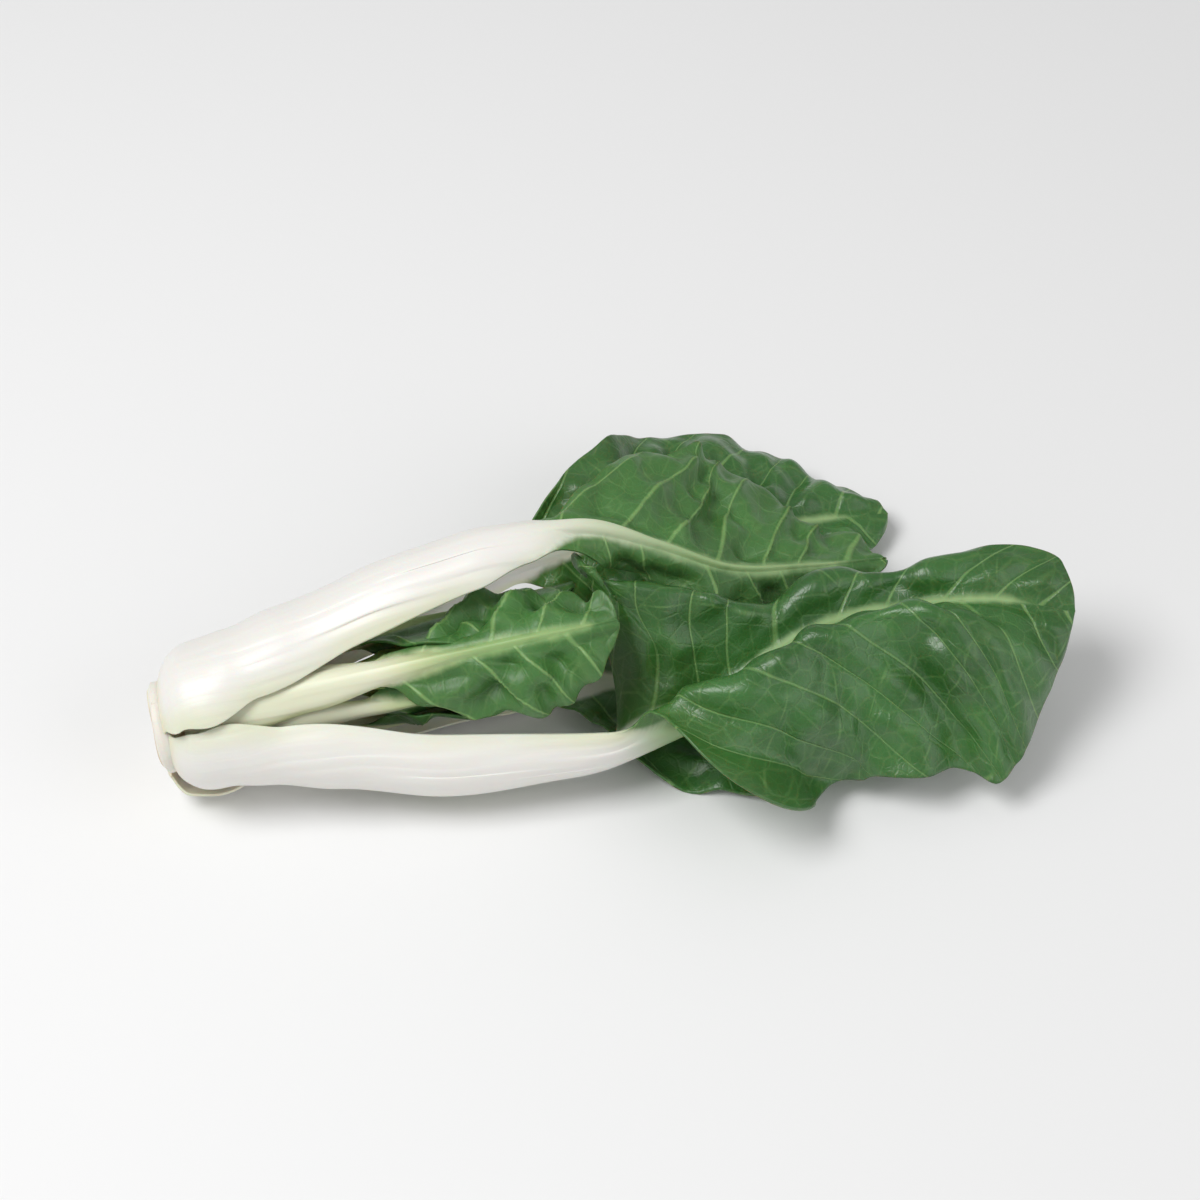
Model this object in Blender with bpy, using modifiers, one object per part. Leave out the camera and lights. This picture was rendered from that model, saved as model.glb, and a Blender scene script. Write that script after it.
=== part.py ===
"""A head of bok choy lying on its side: a trimmed stem base and ten leaves, each one solid.

Metres, +Z up. The head's axis runs along +X from the cut end to the leaf tips, rising a little. The leaves
stand round that axis in the plant's own spiral, each a golden angle on from the one before, and every inner
leaf starts further up the stem and nearer the axis. A leaf is one sheet, from the sheath at its base through
the thick stalk to the blade, and Solidify gives it its thickness.
"""

import math
from dataclasses import dataclass, field

import bmesh
import bpy
import numpy as np

MM = 0.001

# The head
AXIS_HEIGHT = 19.0 * MM  # of the axis over the surface, at the cut end
AXIS_RISE = 0.12  # the axis climbs by this share of its length
LEAF_COUNT = 10
GOLDEN_ANGLE = 137.5  # degrees round the axis from one leaf to the next
FIRST_LEAF_ANGLE = 290.0  # degrees from the far side (+Y) towards the top (+Z)

# Leaf bases: where each leaf leaves the stem, and how the sheaths nest
FIRST_INSERTION = 1.2 * MM
INSERTION_STEP = 1.3 * MM
OUTERMOST_SHEATH = 17.6 * MM  # its distance from the axis
SHEATH_SHRINK = 0.885  # each next sheath is nearer the axis by this factor
SHEATH_RUN = 12.0 * MM  # along the axis from a leaf's start to its full sheath
JOINT_GAP = 0.3 * MM
SHEATH_PART = (0.05, 0.16)  # shares of a leaf between which its cross-sections turn square to its route

# The trimmed stem: the cut end, and then a taper that each leaf in turn stands on
STEM_RADIUS = 9.6 * MM
STEM_END = 20.0 * MM
STEM_SLACK = 3.4 * MM  # the taper runs this far ahead of the leaves, since the stem tilts
STEM_SIDES = 20

# Sheets
FOLD_RADIUS = 2.5 * MM  # how sharply a blade folds along its midrib
CREST_RUN = 8.0 * MM  # the width that a crest bends over
DENSE = 240  # points along a leaf's route, for measuring it
BEND_STEPS = 24  # steps that a cross-section is added up in
FLOOR_SOFTNESS = 0.4 * MM
TIP_SQUARENESS = 4  # how bluntly a blade ends
END_DENSITY = 0.6  # how much closer a leaf's rows lie at its two ends


# The two sides of a leaf: RIGHT is the side towards which +Y lies when the leaf faces up
LEFT, RIGHT = -1, 1
NO_BEND = {LEFT: [(0, 0), (1, 0)], RIGHT: [(0, 0), (1, 0)]}


@dataclass
class Leaf:
    """One leaf. Its route is (x, y, z, facing) along its middle, in mm and in degrees from +Y to +Z.

    Facing is the way the upper side looks. The other profiles are (share of the leaf's length, value) pairs,
    and the blade's run over its own length. A bend is in degrees, positive towards the upper side: the cup
    is spread from midrib to margin, the fold is at the midrib, and the crest is crest_at mm from it.
    The sweep moves the margin on along the leaf, in mm.
    """

    name: str
    rank: int
    route: list
    stalk: list  # half-width of the stalk and then of the midrib, mm
    bulk: list  # how thick the stalk and then the midrib is, mm
    blade_start: float
    blade: dict  # half-width of the blade on each side, mm, by share of the blade's length
    cup: dict
    fold: dict = field(default_factory=lambda: NO_BEND)
    crest: dict = field(default_factory=lambda: NO_BEND)
    crest_at: dict = field(default_factory=lambda: {LEFT: [(0, 12), (1, 12)], RIGHT: [(0, 12), (1, 12)]})
    sweep: dict = field(default_factory=lambda: NO_BEND)
    wave: float = 1.5
    waves: float = 2.0
    phase: float = 0.0
    sheet: float = 0.9
    along: int = 22
    across: int = 10


def axis_at(x):
    """The head's axis as (y, z) at a distance x from the cut end."""
    return 0.0, AXIS_HEIGHT + AXIS_RISE * x


def around_axis(x, radius, degrees):
    """The point at that distance from the axis, that way round it."""
    y, z = axis_at(x)
    turn = math.radians(degrees)
    return x, y + radius * math.cos(turn), z + radius * math.sin(turn)


def smooth_curve(knots, rows, at):
    """Values at `at` on the cubic through rows, each with the slope of its neighbours."""
    knots, rows, at = (np.asarray(a, float) for a in (knots, rows, at))
    slopes = np.gradient(rows, knots, axis=0)
    i = np.clip(np.searchsorted(knots, at, side="right") - 1, 0, len(knots) - 2)
    gap = knots[i + 1] - knots[i]
    t = np.clip((at - knots[i]) / gap, 0.0, 1.0)
    if rows.ndim > 1:
        gap, t = gap[:, None], t[:, None]
    start, end = rows[i], rows[i + 1]
    return (
        start
        + t * gap * slopes[i]
        + t * t * (3 * (end - start) - gap * (2 * slopes[i] + slopes[i + 1]))
        + t * t * t * (2 * (start - end) + gap * (slopes[i] + slopes[i + 1]))
    )


def profile(pairs, share):
    """A profile's value at each share of the length, eased between its points."""
    knots, values = zip(*pairs)
    share = np.clip(share, knots[0], knots[-1])
    i = np.clip(np.searchsorted(knots, share, side="right") - 1, 0, len(knots) - 2)
    knots, values = np.array(knots), np.array(values)
    t = (share - knots[i]) / (knots[i + 1] - knots[i])
    return values[i] + (values[i + 1] - values[i]) * t * t * (3 - 2 * t)


def leaf_angle(rank):
    return (FIRST_LEAF_ANGLE + GOLDEN_ANGLE * rank) % 360.0


def insertion(rank):
    return FIRST_INSERTION + INSERTION_STEP * rank


def sheath_radius(rank):
    return OUTERMOST_SHEATH * SHEATH_SHRINK**rank


def stem_profile():
    """(distance along the axis, radius) from the cut end to the growing tip."""
    taper = [
        (insertion(rank) - STEM_SLACK, min(STEM_RADIUS, sheath_radius(rank) - 5 * JOINT_GAP))
        for rank in range(3, LEAF_COUNT)
    ]
    return [(0.0, STEM_RADIUS - 0.8 * MM), (0.7 * MM, STEM_RADIUS), *taper, (STEM_END, 0.8 * MM)]


def foot_radius(rank):
    """How far from the axis a leaf begins, just clear of the stem's side."""
    return float(np.interp(insertion(rank), *zip(*stem_profile()))) + 2 * JOINT_GAP


def base_points(leaf):
    """The route's first points, from the stem's side out to where the sheath lies at its own radius."""
    foot, full = foot_radius(leaf.rank), sheath_radius(leaf.rank)
    start, turn = insertion(leaf.rank), leaf_angle(leaf.rank)
    stations = ((0.0, 0.0), (0.1, 0.45), (0.32, 0.85), (1.0, 1.0))
    return [around_axis(start + run * SHEATH_RUN, foot + out * (full - foot), turn) for run, out in stations]


def whole_route(leaf):
    """All the route's points and facings, the base first."""
    base = base_points(leaf)
    rows = np.array(leaf.route, float)
    inward = leaf_angle(leaf.rank) + 180.0
    inward -= 360.0 * round((inward - rows[0, 3]) / 360.0)
    points = np.vstack([base, rows[:, :3] * MM])
    return points, np.radians(np.concatenate([[inward] * len(base), rows[:, 3]]))


def spine(leaf, share):
    """Where the leaf's middle runs at each share of its length: point, direction, upper side and length."""
    points, turns = whole_route(leaf)
    knots = np.concatenate([[0.0], np.cumsum(np.linalg.norm(np.diff(points, axis=0), axis=1))])
    at = np.linspace(0.0, knots[-1], DENSE)
    dense = smooth_curve(knots, points, at)
    turn = smooth_curve(knots, turns, at)
    run = np.concatenate([[0.0], np.cumsum(np.linalg.norm(np.diff(dense, axis=0), axis=1))])
    direction = np.gradient(dense, run, axis=0)
    rows = np.column_stack([dense, direction, turn])
    found = np.column_stack([np.interp(share * run[-1], run, column) for column in rows.T])
    point, direction, turn = found[:, :3], found[:, 3:6], found[:, 6]
    direction /= np.linalg.norm(direction, axis=1)[:, None]
    up = np.column_stack([np.zeros(len(turn)), np.cos(turn), np.sin(turn)])
    square = np.clip((share - SHEATH_PART[0]) / (SHEATH_PART[1] - SHEATH_PART[0]), 0.0, 1.0)
    lean = square * square * (3 - 2 * square) * (up * direction).sum(axis=1)
    up -= lean[:, None] * direction
    up /= np.linalg.norm(up, axis=1)[:, None]
    return point, direction, up, run[-1]


def blade_share(leaf, share):
    return np.clip((share - leaf.blade_start) / (1.0 - leaf.blade_start), 0.0, 1.0)


def half_width(leaf, share, side):
    """From the midrib to the margin: the stalk's own half-width, with the blade swelling out beyond it."""
    q = blade_share(leaf, share)
    left, right = (smooth_curve(*zip(*leaf.blade[sign]), q) for sign in (LEFT, RIGHT))
    rounded = np.clip(1 - q**TIP_SQUARENESS, 0, 1) ** 0.5
    blade = np.clip(np.where(side < 0, left, right), 0, None) * MM * rounded
    stalk = profile(leaf.stalk, share) * MM
    return (stalk**3 + blade**3) ** (1 / 3)


def bend_angle(leaf, share, side, reach, width):
    """How far a cross-section has turned at `reach` from the midrib, in radians."""
    total = np.zeros(np.broadcast(share, reach).shape)
    for sign in (LEFT, RIGHT):
        cup = profile(leaf.cup[sign], share) * reach / width
        fold = profile(leaf.fold[sign], share) * (1 - np.exp(-reach / FOLD_RADIUS))
        past = np.clip((reach - profile(leaf.crest_at[sign], share) * MM) / CREST_RUN + 0.5, 0, 1)
        crest = profile(leaf.crest[sign], share) * past * past * (3 - 2 * past)
        total = np.where(side == sign, cup + fold + crest, total)
    return np.radians(total)


def leaf_sheet(leaf, u, v):
    """Points, outward directions and thicknesses of the leaf's upper side at each (u, v).

    u is the share of the length, and v runs from -1 to 1 across the leaf.
    """
    point, direction, up, length = spine(leaf, u)
    across = np.cross(up, direction)
    across /= np.linalg.norm(across, axis=1)[:, None]
    side = np.where(v < 0, LEFT, RIGHT)
    width = half_width(leaf, u, side)
    reach = np.abs(v) * width
    steps = (np.arange(BEND_STEPS) + 0.5) / BEND_STEPS
    angles = bend_angle(leaf, u[:, None], side[:, None], reach[:, None] * steps, width[:, None])
    out = side * reach * np.cos(angles).mean(axis=1)
    rise = reach * np.sin(angles).mean(axis=1)
    end = bend_angle(leaf, u, side, reach, width)
    normal = -np.sin(end)[:, None] * side[:, None] * across + np.cos(end)[:, None] * up
    q = blade_share(leaf, u)
    swell = leaf.wave * MM * np.clip(q * 4, 0, 1) * np.abs(v) ** 2.2
    ruffle = swell * np.sin(2 * math.pi * leaf.waves * q + leaf.phase + side * 0.9)
    sweep = np.where(side < 0, profile(leaf.sweep[LEFT], u), profile(leaf.sweep[RIGHT], u)) * MM
    ahead = sweep * np.abs(v) ** 1.5
    place = point + out[:, None] * across + rise[:, None] * up
    place += ahead[:, None] * direction + ruffle[:, None] * normal
    rib = profile(leaf.stalk, u) * MM
    crown = np.clip(1 - (reach / rib) ** 2, 0, 1)
    thickness = leaf.sheet * MM + profile(leaf.bulk, u) * MM * crown
    return place, normal, thickness


def rest_on_surface(place, normal, thickness):
    """Lifts what would lie below z = 0, so that a leaf flattens where it meets the surface."""
    lowest = np.minimum(place[:, 2], place[:, 2] - normal[:, 2] * thickness)
    depth = -lowest
    lift = 0.5 * (depth + np.sqrt(depth**2 + FLOOR_SOFTNESS**2))
    place = place.copy()
    place[:, 2] += lift
    return place


def material(name, colour, roughness):
    made = bpy.data.materials.new(name)
    made.use_nodes = True
    shader = made.node_tree.nodes["Principled BSDF"]
    shader.inputs["Base Color"].default_value = (*colour, 1.0)
    shader.inputs["Roughness"].default_value = roughness
    shader.inputs["Metallic"].default_value = 0.0
    return made


def leaf_object(leaf, finish, home):
    """The leaf as a grid laid along its route, made solid on its under side."""
    cells = bmesh.new()
    bmesh.ops.create_grid(cells, x_segments=leaf.along, y_segments=leaf.across, size=0.5)
    flat = np.array([vertex.co for vertex in cells.verts])
    share = flat[:, 0] + 0.5
    u = share - END_DENSITY * np.sin(2 * math.pi * share) / (2 * math.pi)
    v = 2 * flat[:, 1]
    place, normal, thickness = leaf_sheet(leaf, u, v)
    place = rest_on_surface(place, normal, thickness)
    for vertex, spot in zip(cells.verts, place):
        vertex.co = spot
    mesh = bpy.data.meshes.new(leaf.name)
    cells.to_mesh(mesh)
    cells.free()
    made = bpy.data.objects.new(leaf.name, mesh)
    home.objects.link(made)
    group = made.vertex_groups.new(name="thickness")
    most = float(thickness.max())
    for index, depth in enumerate(thickness):
        group.add([index], float(depth) / most, "REPLACE")
    solid = made.modifiers.new("Solidify", "SOLIDIFY")
    solid.thickness = most
    solid.offset = -1.0
    solid.vertex_group = group.name
    solid.use_even_offset = False
    mesh.materials.append(finish)
    mesh.shade_smooth()
    return made


def stem_object(finish, home):
    """The trimmed stem: a turned cone with its cut face at the start of the axis."""
    mesh = bpy.data.meshes.new("trimmed_stem")
    shape = bmesh.new()
    rim = [shape.verts.new((radius, 0.0, along)) for along, radius in reversed(stem_profile())]
    top = shape.verts.new((0.0, 0.0, STEM_END))
    cut = shape.verts.new((0.0, 0.0, 0.0))
    line = [top, *rim, cut]
    for first, second in zip(line, line[1:]):
        shape.edges.new((first, second))
    shape.to_mesh(mesh)
    shape.free()
    made = bpy.data.objects.new("trimmed_stem", mesh)
    home.objects.link(made)
    turn = made.modifiers.new("Screw", "SCREW")
    turn.steps = turn.render_steps = STEM_SIDES
    turn.use_merge_vertices = True
    turn.merge_threshold = 0.00001
    made.rotation_euler = (0.0, math.pi / 2 - math.atan(AXIS_RISE), 0.0)
    made.location = (0.0, 0.0, AXIS_HEIGHT)
    mesh.materials.append(finish)
    return made


def wrapped_cup(rank, half, stalk_cup, start, left, right):
    """A cup that wraps the axis at the base, eases along the stalk, and then follows the blade's values."""
    wrap = math.degrees(half * MM / sheath_radius(rank))
    common = [(0.0, wrap), (0.1, wrap), (start, stalk_cup)]
    return {LEFT: common + left, RIGHT: common + right}


def stalk_profile(sheath, stalk, later=0.0):
    """A big leaf's stalk and midrib; `later` is how much further on the stalk narrows."""
    return [
        (0, sheath * 0.66), (0.035, sheath * 0.93), (0.07, sheath), (0.125, sheath * 0.78), (0.26, stalk),
        (0.4 + later, stalk * 0.8), (0.47 + later, stalk * 0.55), (0.54 + later, 1.6),
        (0.66, 1.0), (0.8, 0.7), (1, 0.35),
    ]


def outer_leaves():
    """The four big leaves: under the head, over it, on the near side and on the far side."""
    bulk = [
        (0, 0.8), (0.05, 1.6), (0.1, 2.4), (0.17, 4), (0.3, 5.2),
        (0.42, 4.6), (0.54, 2.6), (0.7, 1.3), (1, 0.3),
    ]
    under = Leaf(
        "outer_leaf_1_under",
        rank=0,
        route=[
            (42, 7, 6.6, 106), (68, 9, 6.2, 102), (95, 8, 4.6, 97), (120, 4, 3.2, 92),
            (150, 2, 2.4, 90), (175, 2, 2.4, 90), (194, 3, 2.6, 90),
        ],
        stalk=stalk_profile(17, 10),
        bulk=bulk,
        blade_start=0.44,
        blade={
            LEFT: [(0, 0), (0.25, 24), (0.5, 34), (0.8, 30), (1, 20)],
            RIGHT: [(0, 0), (0.25, 28), (0.5, 38), (0.8, 32), (1, 20)],
        },
        cup=wrapped_cup(0, 17, 26, 0.3, [(0.6, 8), (1, 10)], [(0.6, 8), (1, 10)]),
        wave=1.6, waves=2.4, phase=0.4,
    )
    over = Leaf(
        "outer_leaf_2_over",
        rank=1,
        route=[
            (40, 9, 39, 251), (60, 11, 45, 256), (80, 13, 49, 260), (98, 14.5, 49, 262),
            (114, 13, 42, 266), (130, 12, 32.5, 270), (148, 15, 26, 270), (168, 19, 20, 270),
        ],
        stalk=stalk_profile(18.8, 11.2, 0.015),
        bulk=bulk,
        blade_start=0.46,
        blade={
            LEFT: [(0, 0), (0.15, 9), (0.3, 25), (0.5, 37), (0.8, 38), (1, 28)],
            RIGHT: [(0, 0), (0.25, 8), (0.5, 10), (0.8, 10), (1, 8)],
        },
        cup=wrapped_cup(1, 18.4, 34, 0.3, [(0.62, 6), (1, 12)], [(0.62, 20), (1, 30)]),
        fold={LEFT: [(0, 0), (0.5, 0), (0.65, -6), (1, 0)], RIGHT: [(0, 0), (0.5, 0), (0.65, 62), (1, 55)]},
        wave=1.8, waves=2.2, phase=2.0,
    )
    near = Leaf(
        "outer_leaf_3_near",
        rank=2,
        route=[
            (40, -15, 16, 12), (60, -18, 14.5, 6), (80, -19, 14.5, 10), (100, -19, 15.5, 24),
            (118, -16, 19, 50), (132, -10, 25, 72), (146, -5, 29, 80), (165, -4, 31, 84), (185, -7, 33, 100),
            (203, -12, 31, 122),
        ],
        stalk=stalk_profile(16.2, 9.8, 0.05),
        bulk=bulk,
        blade_start=0.46,
        blade={
            LEFT: [(0, 0), (0.12, 15), (0.22, 38), (0.4, 48), (0.7, 58), (0.85, 64), (1, 54)],
            RIGHT: [
                (0, 0), (0.08, 18), (0.2, 48), (0.34, 28), (0.46, 17),
                (0.62, 13), (0.78, 17), (0.9, 23), (1, 26),
            ],
        },
        cup=wrapped_cup(2, 16.2, 34, 0.3, [(0.6, 0), (1, -6)], [(0.6, 0), (1, -10)]),
        fold={
            LEFT: [(0, 0), (0.46, 0), (0.56, 58), (0.84, 62), (1, 0)],
            RIGHT: [(0, 0), (0.44, 0), (0.54, 98), (0.64, 72), (0.84, 60), (1, 10)],
        },
        crest={
            LEFT: [(0, 0), (0.46, 0), (0.56, -110), (0.66, -124), (0.84, -118), (1, -20)],
            RIGHT: [(0, 0), (0.5, 0), (0.6, -110), (0.8, -142), (0.93, -20), (1, 0)],
        },
        crest_at={LEFT: [(0, 12), (0.62, 13), (1, 13)], RIGHT: [(0, 48), (0.58, 42), (0.7, 9), (1, 7)]},
        sweep={
            LEFT: [(0, 0), (0.5, 0), (0.62, -8), (0.84, 0), (0.94, 4), (1, 0)],
            RIGHT: [(0, 0), (0.46, 0), (0.56, -6), (0.75, 0), (0.94, 4), (1, 0)],
        },
        wave=1.2, waves=2.0, phase=0.9,
    )
    far = Leaf(
        "outer_leaf_4_far",
        rank=3,
        route=[
            (42, 18.8, 20, 162), (62, 24, 21, 160), (85, 31.5, 20.5, 150), (105, 37.3, 18.4, 125),
            (130, 41, 13.5, 104), (156, 43, 9.5, 98), (176, 44, 7, 96),
        ],
        stalk=stalk_profile(11.4, 7.4),
        bulk=[(at, 0.75 * deep) for at, deep in bulk],
        blade_start=0.46,
        blade={
            LEFT: [(0, 0), (0.25, 20), (0.5, 28), (0.8, 24), (1, 16)],
            RIGHT: [(0, 0), (0.25, 20), (0.5, 30), (0.8, 28), (1, 18)],
        },
        cup=wrapped_cup(3, 11.6, 30, 0.3, [(0.62, 4), (1, 4)], [(0.62, -24), (1, -20)]),
        wave=1.4, waves=2.3, phase=3.0,
    )
    return [under, over, near, far]


def ringed_leaf(name, rank, radii, width, stalk_half, depth, wave, grid, start=0.46):
    """An inner leaf that follows the axis at its own (x, radius) points, cupped round it like a shell."""
    turn = leaf_angle(rank)
    places = [around_axis(x * MM, radius * MM, turn) for x, radius in radii]
    route = [(*(c / MM for c in place), turn - 180.0) for place in places]
    wrap = math.degrees(width / (radii[-1][1] + 1.0))
    blade_cup = [(0.7, wrap), (1, wrap)]
    half = min(stalk_half * 1.4, sheath_radius(rank) / MM)
    swell = [(0, 0), (0.3, width * 0.75), (0.55, width), (0.85, width * 0.85), (1, width * 0.6)]
    return Leaf(
        name,
        rank,
        route,
        stalk=[
            (0, half * 0.8), (0.1, half), (0.3, stalk_half * 0.9), (0.5, stalk_half * 0.45),
            (0.66, 1.0), (1, 0.3),
        ],
        bulk=[(0, 0.5), (0.12, depth * 0.5), (0.3, depth), (0.5, depth * 0.8), (0.75, 0.8), (1, 0.2)],
        blade_start=start,
        blade={LEFT: swell, RIGHT: swell},
        cup=wrapped_cup(rank, half, 34, 0.34, blade_cup, blade_cup),
        wave=wave, phase=rank * 1.3, sheet=0.8, along=grid[0], across=grid[1],
    )


def middle_leaves():
    grid = (15, 8)
    top = [(30, 9.8), (45, 11), (62, 13.4), (82, 15.5), (101, 15)]
    under = [(42, 10), (60, 11.2), (74, 11.2), (85, 10.4)]
    far = [(44, 9.2), (60, 10), (76, 11.2), (94, 12)]
    near = [(42, 7.2), (56, 8), (70, 8.2), (84, 8)]
    return [
        ringed_leaf("middle_leaf_1_top", 4, top, 19, 5.4, 2.6, 0.9, grid, 0.44),
        ringed_leaf("middle_leaf_2_under", 5, under, 13.5, 5.8, 2.8, 0.5, grid),
        ringed_leaf("middle_leaf_3_far", 6, far, 15.8, 5.2, 2.6, 0.5, grid, 0.4),
        ringed_leaf("middle_leaf_4_near", 7, near, 9.5, 4.2, 1.8, 0.4, grid),
    ]


def heart_leaves():
    grid = (12, 6)
    return [
        ringed_leaf("heart_leaf_1", 8, [(40, 6.8), (54, 8), (78, 8.4)], 8.5, 3.6, 1.8, 0.3, grid),
        ringed_leaf("heart_leaf_2", 9, [(40, 4.8), (52, 5.8), (68, 6)], 6.6, 3.0, 1.5, 0.2, grid),
    ]


def centre_on_origin(objects):
    """Moves everything so that the middle of the box's underside is the origin."""
    bpy.context.view_layer.update()
    graph = bpy.context.evaluated_depsgraph_get()
    corners = []
    for one in objects:
        shown = one.evaluated_get(graph)
        mesh = shown.to_mesh()
        points = np.array([shown.matrix_world @ vertex.co for vertex in mesh.vertices])
        shown.to_mesh_clear()
        corners += [points.min(axis=0), points.max(axis=0)]
    low, high = np.min(corners, axis=0), np.max(corners, axis=0)
    holder = bpy.data.objects.new("bok_choy", None)
    objects[0].users_collection[0].objects.link(holder)
    holder.location = (-(low[0] + high[0]) / 2, -(low[1] + high[1]) / 2, -low[2])
    for one in objects:
        one.parent = holder


def main():
    for old in list(bpy.data.objects):
        bpy.data.objects.remove(old)
    home = bpy.data.collections.new("bok_choy")
    bpy.context.scene.collection.children.link(home)
    finishes = {
        "outer": material("outer_leaf", (0.06, 0.19, 0.045), 0.4),
        "middle": material("middle_leaf", (0.16, 0.33, 0.07), 0.45),
        "heart": material("heart_leaf", (0.42, 0.52, 0.16), 0.5),
        "trimmed": material("stem", (0.80, 0.75, 0.60), 0.6),
    }
    made = [stem_object(finishes["trimmed"], home)]
    for leaf in outer_leaves() + middle_leaves() + heart_leaves():
        made.append(leaf_object(leaf, finishes[leaf.name.split("_")[0]], home))
    centre_on_origin(made)


main()
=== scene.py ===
"""Bok choy: grows the finished leaves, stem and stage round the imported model."""

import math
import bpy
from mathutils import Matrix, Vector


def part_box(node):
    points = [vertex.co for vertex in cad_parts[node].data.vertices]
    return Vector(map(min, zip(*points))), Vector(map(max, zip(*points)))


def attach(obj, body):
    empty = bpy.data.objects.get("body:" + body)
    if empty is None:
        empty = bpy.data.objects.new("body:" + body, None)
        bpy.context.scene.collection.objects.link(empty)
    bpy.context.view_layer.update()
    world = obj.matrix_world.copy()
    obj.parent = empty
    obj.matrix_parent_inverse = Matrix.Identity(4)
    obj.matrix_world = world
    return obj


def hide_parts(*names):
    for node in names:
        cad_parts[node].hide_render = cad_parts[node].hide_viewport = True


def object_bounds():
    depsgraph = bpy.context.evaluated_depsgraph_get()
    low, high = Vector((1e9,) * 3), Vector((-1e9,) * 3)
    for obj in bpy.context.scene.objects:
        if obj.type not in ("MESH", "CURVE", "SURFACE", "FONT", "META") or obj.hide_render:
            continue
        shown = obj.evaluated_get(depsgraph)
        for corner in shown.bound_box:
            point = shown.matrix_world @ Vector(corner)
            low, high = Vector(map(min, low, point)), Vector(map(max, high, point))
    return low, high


bl_info = {
    "name": "Bok Choy",
    "version": (1, 0, 0),
    "blender": (4, 5, 0),
    "location": "3D View > Sidebar > Bok Choy",
    "description": "Grows a head of bok choy: its trimmed stem, its leaves and the stage it lies on",
    "category": "Add Mesh",
}

from dataclasses import dataclass, field

import bmesh
import bpy
import numpy as np
from bpy.props import FloatProperty, FloatVectorProperty, PointerProperty
from mathutils import Matrix, Vector

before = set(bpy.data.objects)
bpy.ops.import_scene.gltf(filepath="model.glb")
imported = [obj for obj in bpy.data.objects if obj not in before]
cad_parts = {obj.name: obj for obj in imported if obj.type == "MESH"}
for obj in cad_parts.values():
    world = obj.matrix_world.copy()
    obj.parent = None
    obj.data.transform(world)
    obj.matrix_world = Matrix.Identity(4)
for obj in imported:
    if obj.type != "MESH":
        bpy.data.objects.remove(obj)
CAD_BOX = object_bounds()

MM = 0.001

# The head's axis, from the cut end to the leaf tips
AXIS_HEIGHT = 19.0 * MM
AXIS_RISE = 0.12  # how far the axis climbs for each unit along x
TILT = math.atan(AXIS_RISE)
LEAF_COUNT = 10
GOLDEN_ANGLE = 137.5
FIRST_LEAF_ANGLE = 290.0

# Leaf bases
FIRST_INSERTION = 1.2 * MM
INSERTION_STEP = 1.3 * MM
OUTERMOST_SHEATH = 17.6 * MM
SHEATH_SHRINK = 0.885
SHEATH_RUN = 12.0 * MM
JOINT_GAP = 0.3 * MM
SHEATH_PART = (0.05, 0.16)  # shares of a leaf between which its cross-sections turn square to its route

# The trimmed stem
STEM_RADIUS = 9.6 * MM
STEM_END = 20.0 * MM
STEM_SLACK = 3.4 * MM

# Sheets
FOLD_RADIUS = 2.5 * MM
CREST_RUN = 8.0 * MM
DENSE = 240
BEND_STEPS = 24
FLOOR_SOFTNESS = 0.4 * MM
TIP_SQUARENESS = 4  # how bluntly a blade ends
END_DENSITY = 0.75  # by what share a leaf's rows lie closer together at its two ends

# Side veins: how far apart they leave the midrib, in mm, and the curve they follow
VEIN_SPACING = 12.5
VEIN_LEAN = 0.62
VEIN_CURVE = 0.007
VEIN_SLANT = 0.8  # the share of their spacing that is left when it is measured square across them
OTHER_SIDE = 0.42  # the right half's veins leave the midrib this share of a space sooner

# Relief, in mm from a side vein
QUILT_WIDTH = 2.6  # where the blade has risen by 63 per cent of its puff
RIDGE_WIDTH = 0.8  # where the vein's ridge has sunk to 37 per cent

# The stage
FLOOR_DROP = 0.2 * MM
FLOOR_REACH = 3.0
KEY_PLACE, KEY_SIZE = (-0.45, -0.10, 0.85), 0.45
FILL_PLACE, FILL_SIZE = (0.75, -0.55, 0.55), 0.9
ROOM_LIGHT = 0.42
LENS = 85.0
CAMERA_AIM = (0.0, 0.002, 0.022)
CAMERA_DISTANCE = 0.64

LEFT, RIGHT = -1, 1
NO_BEND = {LEFT: [(0, 0), (1, 0)], RIGHT: [(0, 0), (1, 0)]}


# ---------------------------------------------------------------- the shape of a leaf


@dataclass
class Leaf:
    """One leaf. Its route is (x, y, z, facing) along its middle, in mm and in degrees from +Y to +Z.

    Facing is the way the upper side looks. The other profiles are (share of the leaf's length, value) pairs,
    and the blade's run over its own length. A bend is in degrees, positive towards the upper side: the cup
    is spread from midrib to margin, the fold is at the midrib, and the crest is crest_at mm from it.
    The sweep moves the margin on along the leaf, in mm. A crease is two (run, far) points, a depth and a
    width, in mm, with run from the blade's start and far from the midrib.
    """

    name: str
    rank: int
    route: list
    stalk: list  # half-width of the stalk and then of the midrib, mm
    bulk: list  # how thick the stalk and then the midrib is, mm
    blade_start: float
    blade: dict  # half-width of the blade on each side, mm, by share of the blade's length
    cup: dict
    fold: dict = field(default_factory=lambda: NO_BEND)
    crest: dict = field(default_factory=lambda: NO_BEND)
    crest_at: dict = field(default_factory=lambda: {LEFT: [(0, 12), (1, 12)], RIGHT: [(0, 12), (1, 12)]})
    sweep: dict = field(default_factory=lambda: NO_BEND)
    wave: float = 1.5
    waves: float = 2.0
    phase: float = 0.0
    sheet: float = 0.55  # the blade's thickness, mm
    along: int = 250
    across: int = 130
    crinkle: float = 1.0
    creases: list = field(default_factory=list)
    pale_until: float = 0.5  # the share of the blade's length at which the midrib has turned green


def axis_at(x):
    return 0.0, AXIS_HEIGHT + AXIS_RISE * x


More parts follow.
